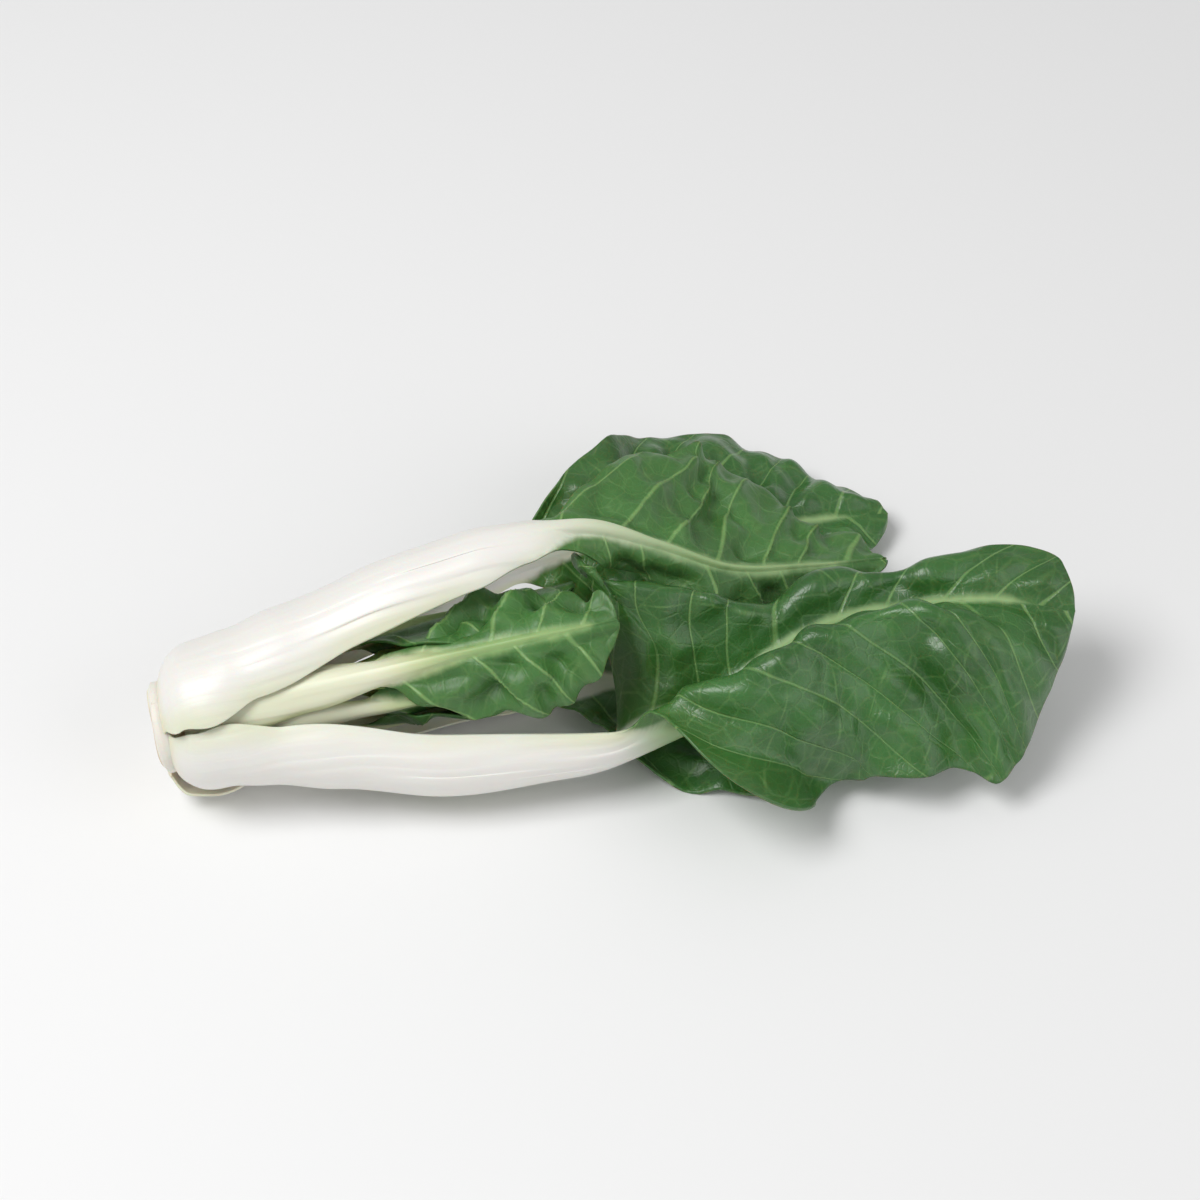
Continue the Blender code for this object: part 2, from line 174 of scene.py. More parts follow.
def around_axis(x, radius, degrees):
    """The point at that distance from the axis, that way round it."""
    y, z = axis_at(x)
    turn = math.radians(degrees)
    return x, y + radius * math.cos(turn), z + radius * math.sin(turn)


def smooth_curve(knots, rows, at):
    """Values at `at` on the cubic through rows, each with the slope of its neighbours."""
    knots, rows, at = (np.asarray(a, float) for a in (knots, rows, at))
    slopes = np.gradient(rows, knots, axis=0)
    i = np.clip(np.searchsorted(knots, at, side="right") - 1, 0, len(knots) - 2)
    gap = knots[i + 1] - knots[i]
    t = np.clip((at - knots[i]) / gap, 0.0, 1.0)
    if rows.ndim > 1:
        gap, t = gap[:, None], t[:, None]
    start, end = rows[i], rows[i + 1]
    return (
        start
        + t * gap * slopes[i]
        + t * t * (3 * (end - start) - gap * (2 * slopes[i] + slopes[i + 1]))
        + t * t * t * (2 * (start - end) + gap * (slopes[i] + slopes[i + 1]))
    )


def profile(pairs, share):
    """A profile's value at each share of the length, eased between its points."""
    knots, values = zip(*pairs)
    share = np.clip(share, knots[0], knots[-1])
    i = np.clip(np.searchsorted(knots, share, side="right") - 1, 0, len(knots) - 2)
    knots, values = np.array(knots), np.array(values)
    t = (share - knots[i]) / (knots[i + 1] - knots[i])
    return values[i] + (values[i + 1] - values[i]) * t * t * (3 - 2 * t)


def ease(value, low, high):
    t = np.clip((value - low) / (high - low), 0, 1)
    return t * t * (3 - 2 * t)


def ripple(x, y, size, seed):
    """A smooth irregular swell between about -1 and 1, with hollows about `size` apart."""
    total = np.zeros(np.broadcast(x, y).shape)
    for i in range(5):
        turn, pitch = seed * 1.7 + i * 2.399, 2 * math.pi / (size * (0.72 + 0.16 * i))
        forward, sideways = x * math.cos(turn) + y * math.sin(turn), y * math.cos(turn) - x * math.sin(turn)
        total += np.sin(pitch * forward + seed * 3.1 + i * 1.9 + 0.9 * np.sin(0.6 * pitch * sideways + i))
    return total / 3.2


def leaf_angle(rank):
    return (FIRST_LEAF_ANGLE + GOLDEN_ANGLE * rank) % 360.0


def insertion(rank):
    return FIRST_INSERTION + INSERTION_STEP * rank


def sheath_radius(rank):
    return OUTERMOST_SHEATH * SHEATH_SHRINK**rank


def stem_profile():
    """(distance along the axis, radius) from the cut end to the growing tip."""
    taper = [
        (insertion(rank) - STEM_SLACK, min(STEM_RADIUS, sheath_radius(rank) - 5 * JOINT_GAP))
        for rank in range(3, LEAF_COUNT)
    ]
    return [(0.0, STEM_RADIUS - 0.8 * MM), (0.7 * MM, STEM_RADIUS), *taper, (STEM_END, 0.8 * MM)]


def foot_radius(rank):
    """How far from the axis a leaf begins, just clear of the stem's side."""
    return float(np.interp(insertion(rank), *zip(*stem_profile()))) + 2 * JOINT_GAP


def base_points(leaf):
    """The route's first points, from the stem's side out to where the sheath lies at its own radius."""
    foot, full = foot_radius(leaf.rank), sheath_radius(leaf.rank)
    start, turn = insertion(leaf.rank), leaf_angle(leaf.rank)
    stations = ((0.0, 0.0), (0.1, 0.45), (0.32, 0.85), (1.0, 1.0))
    return [around_axis(start + run * SHEATH_RUN, foot + out * (full - foot), turn) for run, out in stations]


def whole_route(leaf):
    """All the route's points and facings, the base first."""
    base = base_points(leaf)
    rows = np.array(leaf.route, float)
    inward = leaf_angle(leaf.rank) + 180.0
    inward -= 360.0 * round((inward - rows[0, 3]) / 360.0)
    points = np.vstack([base, rows[:, :3] * MM])
    return points, np.radians(np.concatenate([[inward] * len(base), rows[:, 3]]))


def spine(leaf, share):
    """Where the leaf's middle runs at each share of its length: point, direction, upper side and length."""
    points, turns = whole_route(leaf)
    knots = np.concatenate([[0.0], np.cumsum(np.linalg.norm(np.diff(points, axis=0), axis=1))])
    at = np.linspace(0.0, knots[-1], DENSE)
    dense = smooth_curve(knots, points, at)
    turn = smooth_curve(knots, turns, at)
    run = np.concatenate([[0.0], np.cumsum(np.linalg.norm(np.diff(dense, axis=0), axis=1))])
    direction = np.gradient(dense, run, axis=0)
    rows = np.column_stack([dense, direction, turn])
    found = np.column_stack([np.interp(share * run[-1], run, column) for column in rows.T])
    point, direction, turn = found[:, :3], found[:, 3:6], found[:, 6]
    direction /= np.linalg.norm(direction, axis=1)[:, None]
    up = np.column_stack([np.zeros(len(turn)), np.cos(turn), np.sin(turn)])
    lean = ease(share, *SHEATH_PART) * (up * direction).sum(axis=1)
    up -= lean[:, None] * direction
    up /= np.linalg.norm(up, axis=1)[:, None]
    return point, direction, up, run[-1]


def blade_share(leaf, share):
    return np.clip((share - leaf.blade_start) / (1.0 - leaf.blade_start), 0.0, 1.0)


def half_width(leaf, share, side):
    """From the midrib to the margin: the stalk's own half-width, with the blade swelling out beyond it."""
    q = blade_share(leaf, share)
    left, right = (smooth_curve(*zip(*leaf.blade[sign]), q) for sign in (LEFT, RIGHT))
    rounded = np.clip(1 - q**TIP_SQUARENESS, 0, 1) ** 0.5
    uneven = 1 + 0.02 * leaf.crinkle * ripple(q * 100, side * 9.0, 17, leaf.rank + 0.5)
    blade = np.clip(np.where(side < 0, left, right), 0, None) * MM * rounded * uneven
    stalk = profile(leaf.stalk, share) * MM
    return (stalk**3 + blade**3) ** (1 / 3)


def bend_angle(leaf, share, side, reach, width):
    """How far a cross-section has turned at `reach` from the midrib, in radians."""
    total = np.zeros(np.broadcast(share, reach).shape)
    for sign in (LEFT, RIGHT):
        cup = profile(leaf.cup[sign], share) * reach / width
        fold = profile(leaf.fold[sign], share) * (1 - np.exp(-reach / FOLD_RADIUS))
        past = np.clip((reach - profile(leaf.crest_at[sign], share) * MM) / CREST_RUN + 0.5, 0, 1)
        crest = profile(leaf.crest[sign], share) * past * past * (3 - 2 * past)
        total = np.where(side == sign, cup + fold + crest, total)
    return np.radians(total)


def vein_phase(run, reach, side):
    """A count, whole on each side vein. Run is from the blade's start and reach from the midrib, in mm."""
    lean = run - VEIN_LEAN * reach - VEIN_CURVE * reach**2
    return lean / VEIN_SPACING + np.where(side < 0, 0.0, OTHER_SIDE) + 0.12 * np.sin(lean * 0.19 + side)


def off_vein(phase):
    """Distance to the nearest side vein, mm."""
    return np.abs((phase + 0.5) % 1.0 - 0.5) * VEIN_SPACING * VEIN_SLANT


def leaf_sheet(leaf, u, v, relief, ruffle_size):
    """The leaf's upper side at each (u, v), and what its finish reads there.

    u is the share of the length, and v runs from -1 to 1 across the leaf.
    """
    point, direction, up, length = spine(leaf, u)
    across = np.cross(up, direction)
    across /= np.linalg.norm(across, axis=1)[:, None]
    side = np.where(v < 0, LEFT, RIGHT)
    width = half_width(leaf, u, side)
    reach = np.abs(v) * width
    steps = (np.arange(BEND_STEPS) + 0.5) / BEND_STEPS
    angles = bend_angle(leaf, u[:, None], side[:, None], reach[:, None] * steps, width[:, None])
    out = side * reach * np.cos(angles).mean(axis=1)
    rise = reach * np.sin(angles).mean(axis=1)
    end = bend_angle(leaf, u, side, reach, width)
    normal = -np.sin(end)[:, None] * side[:, None] * across + np.cos(end)[:, None] * up
    q = blade_share(leaf, u)
    swell = leaf.wave * MM * np.clip(q * 4, 0, 1) * np.abs(v) ** 2.2
    ruffle = swell * np.sin(2 * math.pi * leaf.waves * q + leaf.phase + side * 0.9)

    # Relief: the blade puffs up between its side veins, and its margin is frilled
    run, far = (u - leaf.blade_start) * length / MM, reach / MM
    aside = far * side
    rib = profile(leaf.stalk, u)
    phase = vein_phase(run, far, side) + 0.16 * ripple(run, aside, 46, leaf.rank + 5)
    beside = off_vein(phase)
    thin = ease(far - rib, 0.5, 5.0) * ease(q, 0.0, 0.08)
    fade = ease(1 - np.abs(v), 0.02, 0.3)
    puff = (1 - np.exp(-((beside / QUILT_WIDTH) ** 2))) * (0.45 + 0.55 * fade)
    lumps = ripple(run, aside, 10.5, leaf.rank + 1) * 0.55 + ripple(run, aside, 24, leaf.rank + 4) * 0.8
    frill = ripple(run, side * 13.0, 34, leaf.rank + 2)
    frill += 0.2 * ripple(run, side * 5.0, 12, leaf.rank + 3)
    ruffle += thin * leaf.crinkle * (relief * (puff + 1.25 * lumps) + ruffle_size * frill * np.abs(v) ** 3)
    grain = ripple(run * 0.06, aside, 2.6, leaf.rank + 6) * 0.05 + ripple(run * 0.2, aside, 9, 2.0) * 0.06
    ruffle += (1 - thin) * grain * MM * ease(u, 0.01, 0.08)

    for (from_run, from_far), (to_run, to_far), depth, wide in leaf.creases:
        along, off = to_run - from_run, to_far - from_far
        size = math.hypot(along, off)
        gone = ((run - from_run) * along + (aside - from_far) * off) / size
        beside_it = ((aside - from_far) * along - (run - from_run) * off) / size
        beyond = gone - np.clip(gone, 0, size)
        ruffle += depth * MM * np.exp(-((beside_it / wide) ** 2) - (beyond / (1.5 * wide)) ** 2)

    sweep = np.where(side < 0, profile(leaf.sweep[LEFT], u), profile(leaf.sweep[RIGHT], u)) * MM
    ahead = sweep * np.abs(v) ** 1.5
    place = point + out[:, None] * across + rise[:, None] * up
    place += ahead[:, None] * direction + ruffle[:, None] * normal
    crown = np.clip(1 - (far / rib) ** 2, 0, 1)
    ridge = np.exp(-((beside / RIDGE_WIDTH) ** 2)) * thin * (0.25 + 0.5 * fade)
    thickness = (leaf.sheet + profile(leaf.bulk, u) * crown + ridge) * MM
    return {
        "place": place, "normal": normal, "thickness": thickness, "run": run,
        "far": aside, "rib": rib, "phase": phase, "edge": np.abs(v), "q": q, "along": u,
        "greened": ease(q, 0.0, leaf.pale_until),
        "branch": (run + 0.55 * far) / (VEIN_SPACING * 1.3) + 0.2 * ripple(run, aside, 30, leaf.rank + 7),
    }


def rest_on_surface(place, normal, thickness):
    """Lifts what would lie below z = 0, so that a leaf flattens where it meets the surface."""
    depth = -np.minimum(place[:, 2], place[:, 2] - normal[:, 2] * thickness)
    lift = 0.5 * (depth + np.sqrt(depth**2 + FLOOR_SOFTNESS**2))
    place = place.copy()
    place[:, 2] += lift
    return place


# ---------------------------------------------------------------- the leaves of this head


def wrapped_cup(rank, half, stalk_cup, start, left, right):
    """A cup that wraps the axis at the base, eases along the stalk, and then follows the blade's values."""
    wrap = math.degrees(half * MM / sheath_radius(rank))
    common = [(0.0, wrap), (0.1, wrap), (start, stalk_cup)]
    return {LEFT: common + left, RIGHT: common + right}


def stalk_profile(sheath, stalk, later=0.0):
    """A big leaf's stalk and midrib; `later` is how much further on the stalk narrows."""
    return [
        (0, sheath * 0.66), (0.035, sheath * 0.93), (0.07, sheath), (0.125, sheath * 0.78), (0.26, stalk),
        (0.4 + later, stalk * 0.8), (0.47 + later, stalk * 0.55), (0.54 + later, 1.6),
        (0.66, 1.0), (0.8, 0.7), (1, 0.35),
    ]


def outer_leaves():
    """The four big leaves: under the head, over it, on the near side and on the far side."""
    bulk = [
        (0, 0.8), (0.05, 1.6), (0.1, 2.4), (0.17, 4), (0.3, 5.2),
        (0.42, 4.6), (0.54, 2.6), (0.7, 1.3), (1, 0.3),
    ]
    under = Leaf(
        "outer_leaf_1_under",
        rank=0,
        route=[
            (42, 7, 6.6, 106), (68, 9, 6.2, 102), (95, 8, 4.6, 97), (120, 4, 3.2, 92),
            (150, 2, 2.4, 90), (175, 2, 2.4, 90), (194, 3, 2.6, 90),
        ],
        stalk=stalk_profile(17, 10),
        bulk=bulk,
        blade_start=0.44,
        blade={
            LEFT: [(0, 0), (0.25, 24), (0.5, 34), (0.8, 30), (1, 20)],
            RIGHT: [(0, 0), (0.25, 28), (0.5, 38), (0.8, 32), (1, 20)],
        },
        cup=wrapped_cup(0, 17, 26, 0.3, [(0.6, 8), (1, 10)], [(0.6, 8), (1, 10)]),
        wave=1.6, waves=2.4, phase=0.4,
    )
    over = Leaf(
        "outer_leaf_2_over",
        rank=1,
        route=[
            (40, 9, 39, 251), (60, 11, 45, 256), (80, 13, 49, 260), (98, 14.5, 49, 262),
            (114, 13, 42, 266), (130, 12, 32.5, 270), (148, 15, 26, 270), (168, 19, 20, 270),
        ],
        stalk=stalk_profile(18.8, 11.2, 0.015),
        bulk=bulk,
        blade_start=0.46,
        blade={
            LEFT: [(0, 0), (0.15, 9), (0.3, 25), (0.5, 37), (0.8, 38), (1, 28)],
            RIGHT: [(0, 0), (0.25, 8), (0.5, 10), (0.8, 10), (1, 8)],
        },
        cup=wrapped_cup(1, 18.4, 34, 0.3, [(0.62, 6), (1, 12)], [(0.62, 20), (1, 30)]),
        fold={LEFT: [(0, 0), (0.5, 0), (0.65, -6), (1, 0)], RIGHT: [(0, 0), (0.5, 0), (0.65, 62), (1, 55)]},
        wave=1.8, waves=2.2, phase=2.0,
    )
    near = Leaf(
        "outer_leaf_3_near",
        rank=2,
        route=[
            (40, -15, 16, 12), (60, -18, 14.5, 6), (80, -19, 14.5, 10), (100, -19, 15.5, 24),
            (118, -16, 19, 50), (132, -10, 25, 72), (146, -5, 29, 80), (165, -4, 31, 84), (185, -7, 33, 100),
            (203, -12, 31, 122),
        ],
        stalk=stalk_profile(16.2, 9.8, 0.05),
        bulk=bulk,
        blade_start=0.46,
        blade={
            LEFT: [(0, 0), (0.12, 15), (0.22, 38), (0.4, 48), (0.7, 58), (0.85, 64), (1, 54)],
            RIGHT: [
                (0, 0), (0.08, 18), (0.2, 48), (0.34, 28), (0.46, 17),
                (0.62, 13), (0.78, 17), (0.9, 23), (1, 26),
            ],
        },
        cup=wrapped_cup(2, 16.2, 34, 0.3, [(0.6, 0), (1, -6)], [(0.6, 0), (1, -10)]),
        fold={
            LEFT: [(0, 0), (0.46, 0), (0.56, 58), (0.84, 62), (1, 0)],
            RIGHT: [(0, 0), (0.44, 0), (0.54, 98), (0.64, 72), (0.84, 60), (1, 10)],
        },
        crest={
            LEFT: [(0, 0), (0.46, 0), (0.56, -110), (0.66, -124), (0.84, -118), (1, -20)],
            RIGHT: [(0, 0), (0.5, 0), (0.6, -110), (0.8, -142), (0.93, -20), (1, 0)],
        },
        crest_at={LEFT: [(0, 12), (0.62, 13), (1, 13)], RIGHT: [(0, 48), (0.58, 42), (0.7, 9), (1, 7)]},
        sweep={
            LEFT: [(0, 0), (0.5, 0), (0.62, -8), (0.84, 0), (0.94, 4), (1, 0)],
            RIGHT: [(0, 0), (0.46, 0), (0.56, -6), (0.75, 0), (0.94, 4), (1, 0)],
        },
        wave=1.6, waves=1.6, phase=0.9, along=280, across=150, crinkle=0.6, pale_until=0.14,
        creases=[
            ((16, -16), (44, -46), -4.0, 5.0),
            ((66, -14), (84, -46), -3.4, 4.5),
            ((40, -20), (52, -44), 2.2, 6.0),
        ],
    )
    far = Leaf(
        "outer_leaf_4_far",
        rank=3,
        route=[
            (42, 18.8, 20, 162), (62, 24, 21, 160), (85, 31.5, 20.5, 150), (105, 37.3, 18.4, 125),
            (130, 41, 13.5, 104), (156, 43, 9.5, 98), (176, 44, 7, 96),
        ],
        stalk=stalk_profile(11.4, 7.4),
        bulk=[(at, 0.75 * deep) for at, deep in bulk],
        blade_start=0.46,
        blade={
            LEFT: [(0, 0), (0.25, 20), (0.5, 28), (0.8, 24), (1, 16)],
            RIGHT: [(0, 0), (0.25, 20), (0.5, 30), (0.8, 28), (1, 18)],
        },
        cup=wrapped_cup(3, 11.6, 30, 0.3, [(0.62, 4), (1, 4)], [(0.62, -24), (1, -20)]),
        wave=1.4, waves=2.3, phase=3.0,
    )
    return [under, over, near, far]


def ringed_leaf(name, rank, radii, width, stalk_half, depth, wave, crinkle, start=0.46):
    """An inner leaf that follows the axis at its own (x, radius) points, cupped round it like a shell."""
    turn = leaf_angle(rank)
    places = [around_axis(x * MM, radius * MM, turn) for x, radius in radii]
    route = [(*(c / MM for c in place), turn - 180.0) for place in places]
    wrap = math.degrees(width / (radii[-1][1] + 1.0))
    blade_cup = [(0.7, wrap), (1, wrap)]
    half = min(stalk_half * 1.4, sheath_radius(rank) / MM)
    swell = [(0, 0), (0.3, width * 0.75), (0.55, width), (0.85, width * 0.85), (1, width * 0.6)]
    return Leaf(
        name,
        rank,
        route,
        stalk=[
            (0, half * 0.8), (0.1, half), (0.3, stalk_half * 0.9), (0.5, stalk_half * 0.45),
            (0.66, 1.0), (1, 0.3),
        ],
        bulk=[(0, 0.5), (0.12, depth * 0.5), (0.3, depth), (0.5, depth * 0.8), (0.75, 0.8), (1, 0.2)],
        blade_start=start,
        blade={LEFT: swell, RIGHT: swell},
        cup=wrapped_cup(rank, half, 34, 0.34, blade_cup, blade_cup),
        wave=wave, phase=rank * 1.3, sheet=0.5, along=150, across=84, crinkle=crinkle,
    )


def middle_leaves():
    top = [(30, 9.8), (45, 11), (62, 13.4), (82, 15.5), (101, 15)]
    under = [(42, 10), (60, 11.2), (74, 11.2), (85, 10.4)]
    far = [(44, 9.2), (60, 10), (76, 11.2), (94, 12)]
    near = [(42, 7.2), (56, 8), (70, 8.2), (84, 8)]
    return [
        ringed_leaf("middle_leaf_1_top", 4, top, 19, 5.4, 2.6, 1.8, 1.6, 0.44),
        ringed_leaf("middle_leaf_2_under", 5, under, 13.5, 5.8, 2.8, 0.5, 0.9),
        ringed_leaf("middle_leaf_3_far", 6, far, 15.8, 5.2, 2.6, 0.5, 1.0, 0.4),
        ringed_leaf("middle_leaf_4_near", 7, near, 9.5, 4.2, 1.8, 0.4, 0.5),
    ]


def heart_leaves():
    return [
        ringed_leaf("heart_leaf_1", 8, [(40, 6.8), (54, 8), (78, 8.4)], 8.5, 3.6, 1.8, 0.3, 0.4),
        ringed_leaf("heart_leaf_2", 9, [(40, 4.8), (52, 5.8), (68, 6)], 6.6, 3.0, 1.5, 0.2, 0.4),
    ]


def head_origin():
    """Where the start of the head's axis, at the surface, lies in the frame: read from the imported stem."""
    low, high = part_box("trimmed_stem")
    along, radius = np.array(stem_profile()).T
    lowest_x = (along * math.cos(TILT) - radius * math.sin(TILT)).min()
    lowest_z = AXIS_HEIGHT + (along * math.sin(TILT) - radius * math.cos(TILT)).min()
    return Vector((low.x - lowest_x, (low.y + high.y) / 2, low.z - lowest_z))


# ---------------------------------------------------------------- shader expressions


class Wire:
    """A socket of a material's nodes, for writing shader maths as Python expressions."""

    def __init__(self, painter, socket):
        self.painter, self.socket = painter, socket

    def _math(self, operation, *values):
        return self.painter.node("ShaderNodeMath", {"operation": operation}, dict(enumerate(values)))

    def __add__(self, other):
        return self._math("ADD", self, other)

    def __radd__(self, other):
        return self._math("ADD", other, self)

    def __sub__(self, other):
        return self._math("SUBTRACT", self, other)

    def __rsub__(self, other):
        return self._math("SUBTRACT", other, self)

    def __mul__(self, other):
        return self._math("MULTIPLY", self, other)

    def __rmul__(self, other):
        return self._math("MULTIPLY", other, self)

    def __truediv__(self, other):
        return self._math("DIVIDE", self, other)

    def __mod__(self, other):
        return self._math("FLOORED_MODULO", self, other)

    def __abs__(self):
        return self._math("ABSOLUTE", self)

    def ease(self, low, high):
        """0 below `low`, 1 above `high`, and smooth between them."""
        settings = {"interpolation_type": "SMOOTHSTEP"}
        return self.painter.node("ShaderNodeMapRange", settings, {0: self, 1: low, 2: high})


class Painter:
    """A material's nodes."""

    def __init__(self, name):
        self.material = bpy.data.materials.new(name)
        self.material.use_nodes = True
        self.tree = self.material.node_tree
        self.surface = self.tree.nodes["Principled BSDF"]

    def node(self, kind, settings=None, values=None, output=0):
        """A new node with its settings, then its sockets' values or links. Gives the wire of one output."""
        made = self.tree.nodes.new(kind)
        for setting, value in (settings or {}).items():
            setattr(made, setting, value)
        for socket, value in (values or {}).items():
            self.feed(made.inputs[socket], value)
        return Wire(self, made.outputs[output])

    def feed(self, socket, value):
        if isinstance(value, Wire):
            self.tree.links.new(value.socket, socket)
        else:
            socket.default_value = value

    def attribute(self, name):
        return self.node("ShaderNodeAttribute", {"attribute_name": name}, output="Fac")

    def mix(self, factor, first, second):
        """From one colour to the other."""
        first, second = (c if isinstance(c, Wire) else (*c, 1.0) for c in (first, second))
        return self.node("ShaderNodeMix", {"data_type": "RGBA"}, {0: factor, 6: first, 7: second}, output=2)

    def noise(self, where, scale, detail=2.0, roughness=0.5):
        values = {"Vector": where, "Scale": scale, "Detail": detail, "Roughness": roughness}
        return self.node("ShaderNodeTexNoise", {}, values, output="Fac")

    def cell_edges(self, where, scale):
        """How far each point is from the nearest edge of a net of cells."""
        values = {"Vector": where, "Scale": scale}
        return self.node("ShaderNodeTexVoronoi", {"feature": "DISTANCE_TO_EDGE"}, values, output="Distance")

    def stretched(self, where, factors):
        """The same place with each axis scaled."""
        return self.node("ShaderNodeVectorMath", {"operation": "MULTIPLY"}, {0: where, 1: factors})

    def bump(self, height, distance, strength=1.0, below=None):
        values = {"Height": height, "Distance": distance, "Strength": strength}
        if below is not None:
            values["Normal"] = below
        return self.node("ShaderNodeBump", {}, values)

    def finish(self, **sockets):
        for name, value in sockets.items():
            socket = self.surface.inputs[name.replace("_", " ").title()]
            self.feed(socket, (*value, 1.0) if isinstance(value, tuple) and len(value) == 3 else value)
        return self.material


def leaf_finish(name, look, blade, young, cream):
    """White stalk and midrib, green blade with pale veins, and a paler under side.

    `blade` is the blade's colour. From 0 to 1, `young` turns the leaf towards yellow-green, and `cream` moves
    its stalk towards the tinge.
    """
    paint = Painter(name)
    uv = paint.node("ShaderNodeUVMap", {"uv_map": "leaf"})
    phase, rib, far = paint.attribute("phase"), paint.attribute("rib"), abs(paint.attribute("far"))
    edge, q, under = paint.attribute("edge"), paint.attribute("q"), paint.attribute("under")

    # Where the blade is green: beyond the midrib, with a ragged border
    border = paint.noise(uv, 160.0, 3.0) * 2.4 - 1.2
    beyond = far - rib * (1.0 - q.ease(0.62, 1.0) * 0.9) + border + q.ease(0.85, 1.0) * 3.0
    green = beyond.ease(-0.5, 1.6) * q.ease(0.0, 0.05)

    # Side veins, then a fine net between them
    beside = abs((phase + 0.5) % 1.0 - 0.5) * (VEIN_SPACING * VEIN_SLANT)
    side_vein = 1.0 - (beside * (0.75 + edge * 1.1)).ease(0.12, 0.55)
    branching = paint.attribute("branch")
    branch = 1.0 - (abs((branching + 0.5) % 1.0 - 0.5) * (VEIN_SPACING * 1.1)).ease(0.08, 0.4)
    branch = branch * beside.ease(0.0, 5.0) * edge.ease(0.2, 0.6)
    faded = 1.0 - (far / (edge * 60.0 + 1.0)).ease(0.55, 1.0) * 0.5
    net = 1.0 - paint.cell_edges(uv, 210.0).ease(0.0, 0.085)
    fine = 1.0 - paint.cell_edges(uv, 620.0).ease(0.0, 0.12)

    patches = paint.noise(uv, 42.0, 3.0)
    speckle = paint.noise(uv, 900.0, 2.0)
    deep = tuple(c * 0.74 for c in blade)
    light = tuple(min(1.0, c * 1.25 + 0.008) for c in blade)
    tissue = paint.mix(patches.ease(0.3, 0.74), deep, light)
    tissue = paint.mix(q.ease(0.0, 0.35) * -0.45 + 0.45, tissue, tuple(look.fresh_colour))
    back = paint.mix(0.5, tissue, tuple(look.back_colour))
    tissue = paint.mix(under * 0.75, tissue, back)
    tissue = paint.mix(speckle.ease(0.3, 0.8) * 0.16, tissue, light)
    tissue = paint.mix(young, tissue, tuple(look.young_colour)) if young else tissue
    veins = side_vein * faded * (0.5 + 0.1 * under) + branch * 0.26 + net * 0.11 + fine * 0.05
    tissue = paint.mix(veins, tissue, tuple(look.vein_colour))

    # The stalk: white, with faint long fibres and a yellow-green tinge along its edges and near the blade
    fibres = paint.noise(paint.stretched(uv, (18.0, 700.0, 1.0)), 1.0, 3.0)
    cloudy = paint.noise(uv, 30.0, 2.0)
    white = paint.mix(fibres.ease(0.38, 0.66) * 0.22, tuple(look.stalk_colour), tuple(look.stalk_shade))
    tinge = edge.ease(0.55, 1.0) * 0.5 * cloudy.ease(0.2, 0.7) + q.ease(0.0, 0.25) * 0.35 + young * 0.35
    white = paint.mix(tinge + cream, white, tuple(look.tinge_colour))
    white = paint.mix(paint.attribute("greened") * 0.85, white, tuple(look.vein_colour))
    white = paint.mix((1.0 - paint.attribute("along").ease(0.0, 0.022)) * 0.55, white, tuple(look.cut_colour))
    colour = paint.mix(green, white, tissue)

    # Relief too fine for the mesh
    stalk_grain = paint.bump(fibres * (1.0 - green), 0.00022, 0.6)
    vein_height = side_vein * 0.6 + net * 0.22 + fine * 0.1
    turned = vein_height * (under * 2.0 - 1.0) * green
    relief = paint.bump(turned, 0.00035, 0.8, stalk_grain)
    skin = paint.bump(speckle * green, 0.00006, 0.5, relief)
    rough = 0.33 + green * -0.02 + under * green * 0.14 + patches * 0.1
    return paint.finish(
        base_color=colour,
        roughness=rough,
        normal=skin,
        subsurface_weight=0.18,
        subsurface_scale=0.0025,
        coat_weight=green * (1.0 - under * 0.6) * 0.28,
        coat_roughness=0.28,
    )


def stem_finish(look):
    """The cut end: cream flesh, darker towards its rim, with rings and a few drying marks."""
    paint = Painter("cut_stem")
    place = paint.node("ShaderNodeTexCoord", {}, {}, output="Object")
    radius = paint.attribute("radius")
    wobbly = radius + paint.noise(place, 90.0) * 0.25
    rings = paint.node("ShaderNodeMath", {"operation": "SINE"}, {0: wobbly * 26.0})
    marks = paint.noise(place, 420.0, 4.0, 0.65)
    blotches = paint.noise(place, 130.0, 3.0)
    flesh = paint.mix(rings.ease(0.2, 1.0) * 0.3, tuple(look.cut_colour), tuple(look.stalk_colour))
    rim = radius.ease(0.62, 0.9) * (1.0 - radius.ease(0.93, 0.99))
    colour = paint.mix(rim * 0.6 * blotches.ease(0.3, 0.6), flesh, tuple(look.dry_colour))
    colour = paint.mix(radius.ease(0.94, 1.0) * 0.8, colour, tuple(look.stalk_colour))
    colour = paint.mix(marks.ease(0.62, 0.78) * 0.45, colour, tuple(look.dry_colour))
    height = marks * 0.6 + rings * 0.15
    return paint.finish(
        base_color=colour,
        roughness=0.5 + marks * 0.15,
        normal=paint.bump(height, 0.0004, 0.7),
        subsurface_weight=0.2,
        subsurface_scale=0.003,
    )


def floor_finish(colour):
    paint = Painter("pale_floor")
    place = paint.node("ShaderNodeTexCoord", {}, {}, output="Object")
    tone = paint.mix(paint.noise(place, 3.0, 2.0) * 0.3, colour, tuple(c * 0.98 for c in colour))
    return paint.finish(base_color=tone, roughness=0.85)


# ---------------------------------------------------------------- meshes


def store(mesh, name, values):
    layer = mesh.attributes.new(name, "FLOAT", "POINT")
    layer.data.foreach_set("value", np.asarray(values, np.float32))


def present(mesh, node, finish):
    """Puts a finished mesh in the scene in place of the CAD node."""
    piece = bpy.data.objects.new(node + "_grown", mesh)
    bpy.context.scene.collection.objects.link(piece)
    mesh.materials.append(finish)
    mesh.shade_smooth()
    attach(piece, "root")
    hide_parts(node)
    return piece


